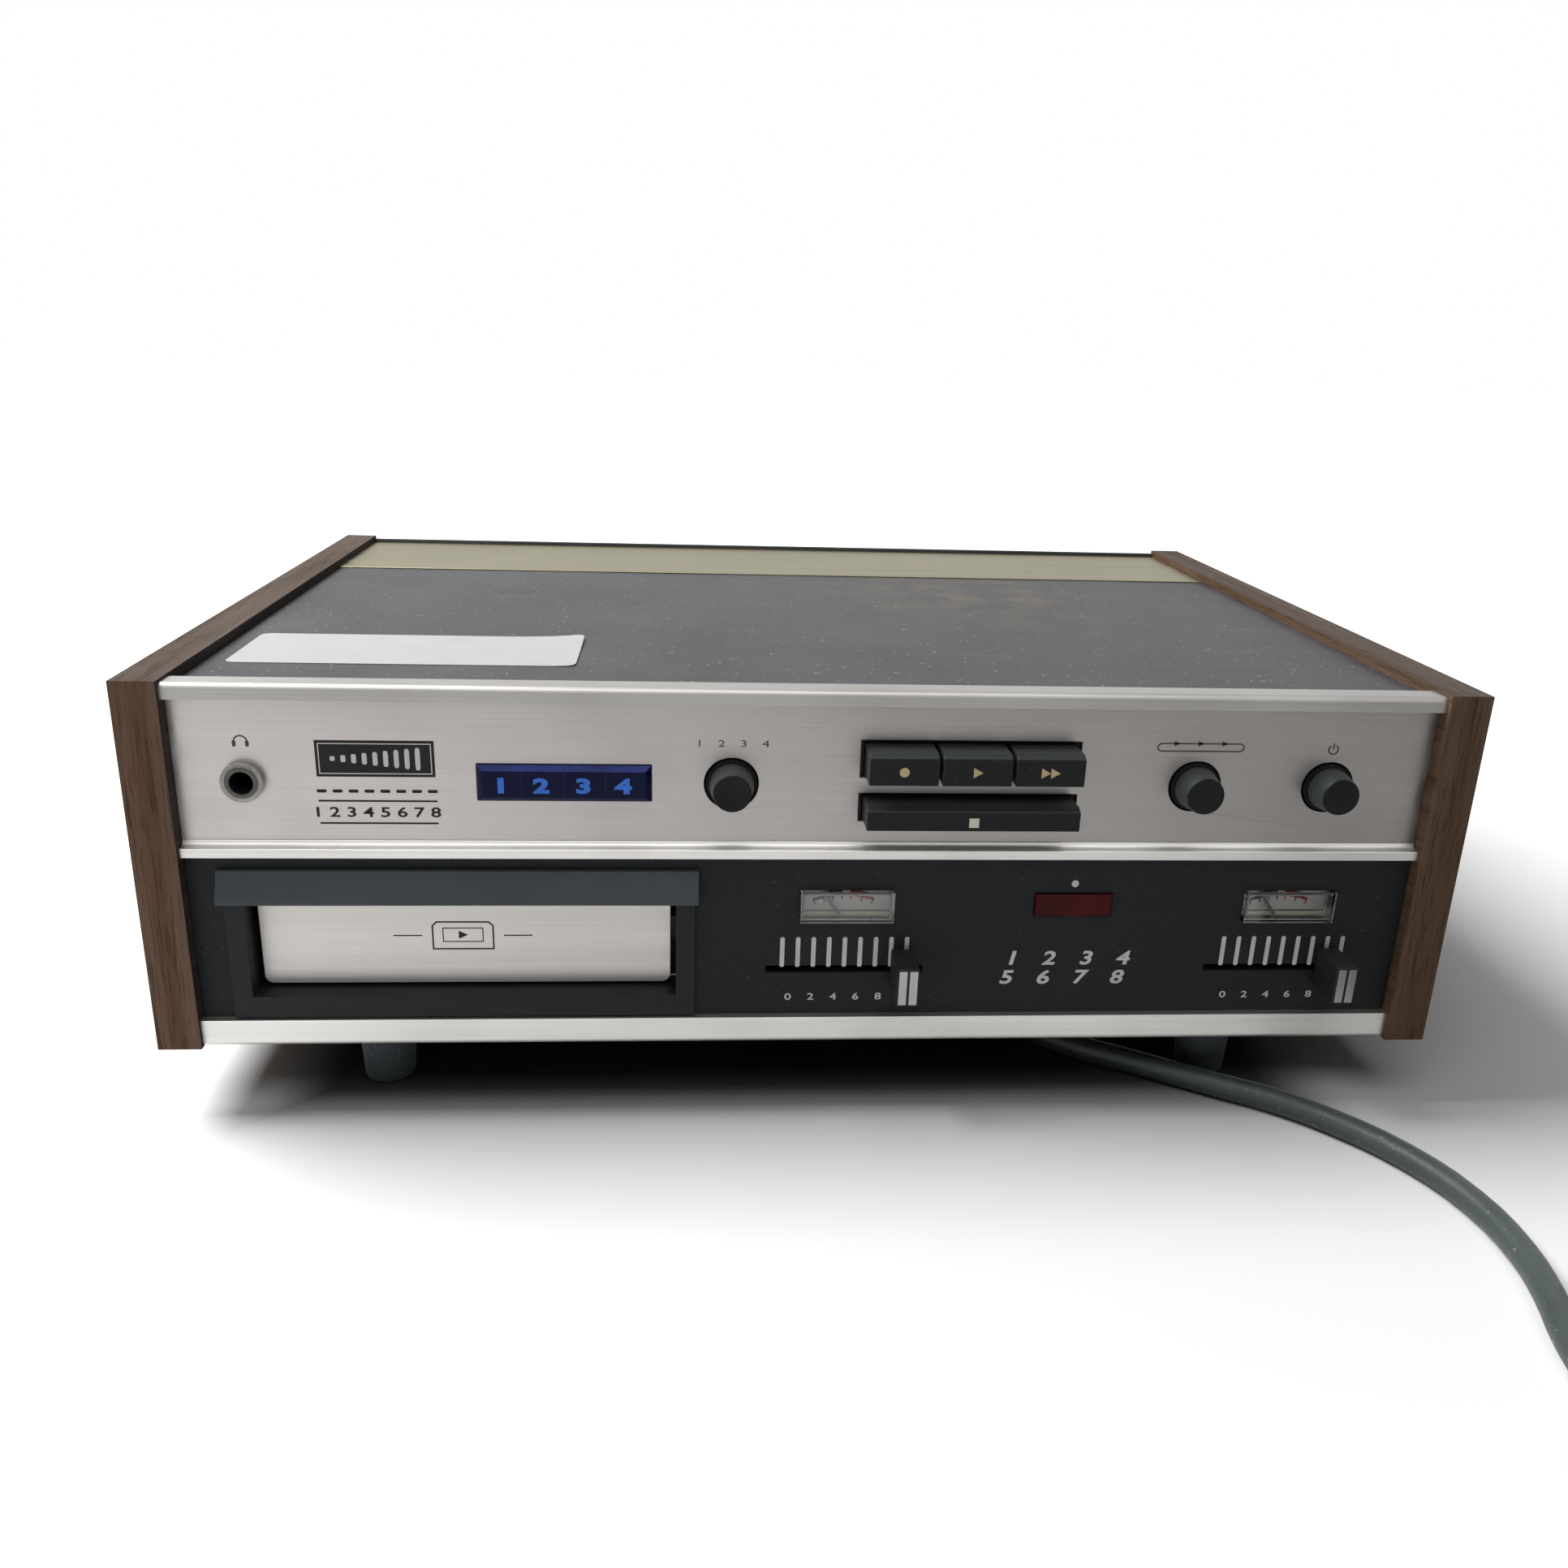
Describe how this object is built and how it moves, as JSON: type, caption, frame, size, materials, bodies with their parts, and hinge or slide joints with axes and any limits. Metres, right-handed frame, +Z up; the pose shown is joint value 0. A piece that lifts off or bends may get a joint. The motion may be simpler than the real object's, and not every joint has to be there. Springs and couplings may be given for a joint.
{
  "type": "eight-track tape player",
  "caption": "Low tape cartridge deck with wooden sides, a hinged door, push keys and buttons, sliding level controls, meters, and a mains cord coiled beside it.",
  "frame": {"origin": "middle of the deck's footprint at the undersides of its feet, without the mains cord", "axes": "+X to the right seen from the front, along the longest side, +Y to the rear, +Z up, the shortest side"},
  "size_m": [0.4791, 0.4655, 0.129],
  "materials": {
    "walnut": "oiled walnut boards",
    "cover_steel": "grey satin paint",
    "champagne_trim": "champagne anodised, satin",
    "base_steel": "zinc-grey sheet",
    "rear_steel": "dark satin paint",
    "fascia_aluminium": "brushed, clear anodised",
    "rail_aluminium": "bright brushed extrusion",
    "lower_panel_black": "black, fine satin",
    "bezel_black": "charcoal satin",
    "door_black": "black satin",
    "door_aluminium": "brushed along its length",
    "pin_steel": "plain steel",
    "inner_steel": "zinc plated sheet",
    "jack_chrome": "nickel ring on a dark body",
    "window_blue": "deep blue lens",
    "lamp_red": "dark red lens",
    "holder_white": "white moulding",
    "bulb_glass": "small clear bulbs",
    "button_cap": "dark face on a grey-green cone",
    "key_cap": "black, semi-gloss",
    "slider_cap": "black with a silver face",
    "switch_body": "tan laminate and steel",
    "meter_body": "grey scale and case",
    "meter_glass": "clear lens",
    "needle_metal": "black hand on a wound coil",
    "motor_steel": "plated can",
    "brass": "turned",
    "belt_rubber": "flat black",
    "flywheel_iron": "turned",
    "carriage_metal": "cast",
    "head_metal": "polished face",
    "cam_plastic": "natural moulding",
    "core_steel": "varnished laminations",
    "winding": "enamelled copper wire under tape",
    "board": "laminate with its parts",
    "line_jack_metal": "plated shells",
    "foot_rubber": "dark moulded",
    "relief_rubber": "dark moulded",
    "cord_vinyl": "grey-green vinyl",
    "tie_plastic": "black band"
  },
  "bodies": {
    "case": {"left_side_panel": "walnut", "right_side_panel": "walnut", "top_cover": "cover_steel", "rear_trim": "champagne_trim", "base_plate": "base_steel", "rear_panel": "rear_steel", "fascia": "fascia_aluminium", "top_rail": "rail_aluminium", "middle_rail": "rail_aluminium", "bottom_rail": "rail_aluminium", "lower_panel": "lower_panel_black", "cartridge_bezel": "bezel_black", "door_hinge_pin": "pin_steel", "cartridge_tray": "inner_steel", "phones_jack": "jack_chrome", "program_window": "window_blue", "lamp_holders": "holder_white", "indicator_lamps": "bulb_glass", "record_lamp_lens": "lamp_red", "push_switches": "switch_body", "key_frame": "inner_steel", "faders": "switch_body", "meter_cases": "meter_body", "meter_lenses": "meter_glass", "deck_plate": "inner_steel", "motor": "motor_steel", "drive_belt": "belt_rubber", "capstan_bush": "brass", "cam_bracket": "inner_steel", "solenoid": "motor_steel", "power_transformer": "core_steel", "transformer_winding": "winding", "circuit_board": "board", "line_jacks": "line_jack_metal", "feet": "foot_rubber", "screws": "pin_steel", "strain_relief": "relief_rubber", "power_cord": "cord_vinyl", "power_cord_coil": "cord_vinyl", "power_plug": "cord_vinyl", "cord_tie": "tie_plastic"},
    "selector_button": {"selector_button": "button_cap"},
    "continuous_button": {"continuous_button": "button_cap"},
    "power_button": {"power_button": "button_cap"},
    "record_key": {"record_key": "key_cap"},
    "play_key": {"play_key": "key_cap"},
    "fast_forward_key": {"fast_forward_key": "key_cap"},
    "stop_key": {"stop_key": "key_cap"},
    "left_slider": {"left_slider": "slider_cap"},
    "right_slider": {"right_slider": "slider_cap"},
    "door": {"cartridge_door": "door_black", "door_face": "door_aluminium"},
    "flywheel": {"flywheel": "flywheel_iron"},
    "motor_rotor": {"motor_pulley": "brass"},
    "left_needle": {"left_meter_needle": "needle_metal"},
    "right_needle": {"right_meter_needle": "needle_metal"},
    "head": {"head_carriage": "carriage_metal", "tape_head": "head_metal"},
    "program_cam": {"program_cam": "cam_plastic"},
    "plunger": {"solenoid_plunger": "pin_steel"}
  },
  "joints": [
    {"name": "selector_press", "type": "slide", "parent": "case", "child": "selector_button", "axis": [0, 1, 0], "range_m": [0, 0.003], "stiffness_N_per_m": 250, "springref_m": -0.002},
    {"name": "continuous_press", "type": "slide", "parent": "case", "child": "continuous_button", "axis": [0, 1, 0], "range_m": [0, 0.003], "stiffness_N_per_m": 250, "springref_m": -0.002},
    {"name": "power_press", "type": "slide", "parent": "case", "child": "power_button", "axis": [0, 1, 0], "range_m": [0, 0.003], "stiffness_N_per_m": 250, "springref_m": -0.002},
    {"name": "record_press", "type": "slide", "parent": "case", "child": "record_key", "axis": [0, 1, 0], "range_m": [0, 0.005], "stiffness_N_per_m": 250, "springref_m": -0.003},
    {"name": "play_press", "type": "slide", "parent": "case", "child": "play_key", "axis": [0, 1, 0], "range_m": [0, 0.005], "stiffness_N_per_m": 250, "springref_m": -0.003},
    {"name": "fast_forward_press", "type": "slide", "parent": "case", "child": "fast_forward_key", "axis": [0, 1, 0], "range_m": [0, 0.005], "stiffness_N_per_m": 250, "springref_m": -0.003},
    {"name": "stop_press", "type": "slide", "parent": "case", "child": "stop_key", "axis": [0, 1, 0], "range_m": [0, 0.005], "stiffness_N_per_m": 250, "springref_m": -0.003},
    {"name": "left_level_slide", "type": "slide", "parent": "case", "child": "left_slider", "axis": [1, 0, 0], "range_m": [-0.034, 0.001]},
    {"name": "right_level_slide", "type": "slide", "parent": "case", "child": "right_slider", "axis": [1, 0, 0], "range_m": [-0.0315, 0.0035]},
    {"name": "door_swing", "type": "hinge", "parent": "case", "child": "door", "pos_m": [-0.099, -0.11045, 0.065], "axis": [1, 0, 0], "range_deg": [0, 90], "stiffness_Nm_per_rad": 0.003, "springref_deg": -17.19},
    {"name": "flywheel_spin", "type": "hinge", "parent": "case", "child": "flywheel", "pos_m": [-0.062, -0.01475, 0.08], "axis": [0, 0, 1], "continuous": true},
    {"name": "motor_spin", "type": "hinge", "parent": "case", "child": "motor_rotor", "pos_m": [-0.115, 0.04375, 0.08], "axis": [0, 0, 1], "continuous": true},
    {"name": "cam_turn", "type": "hinge", "parent": "case", "child": "program_cam", "pos_m": [-0.098, 0.00105, 0.0315], "axis": [0, -1, 0], "range_deg": [0, 270]},
    {"name": "head_lift", "type": "slide", "parent": "case", "child": "head", "axis": [0, 0, 1], "range_m": [0, 0.0024]},
    {"name": "solenoid_pull", "type": "slide", "parent": "case", "child": "plunger", "axis": [1, 0, 0], "range_m": [0, 0.004], "stiffness_N_per_m": 80, "springref_m": -0.002},
    {"name": "left_needle_swing", "type": "hinge", "parent": "case", "child": "left_needle", "pos_m": [0.00875, -0.10925, 0.0573], "axis": [0, 1, 0], "range_deg": [0, 70], "stiffness_Nm_per_rad": 0.00005, "springref_deg": -11.46},
    {"name": "right_needle_swing", "type": "hinge", "parent": "case", "child": "right_needle", "pos_m": [0.1382, -0.10925, 0.0573], "axis": [0, 1, 0], "range_deg": [0, 70], "stiffness_Nm_per_rad": 0.00005, "springref_deg": -11.46}
  ],
  "couplings": [
    {"joint": "motor_spin", "follows": "flywheel_spin", "ratio": 3.913},
    {"joint": "cam_turn", "follows": "head_lift", "rad_per_m": 1963.5}
  ]
}
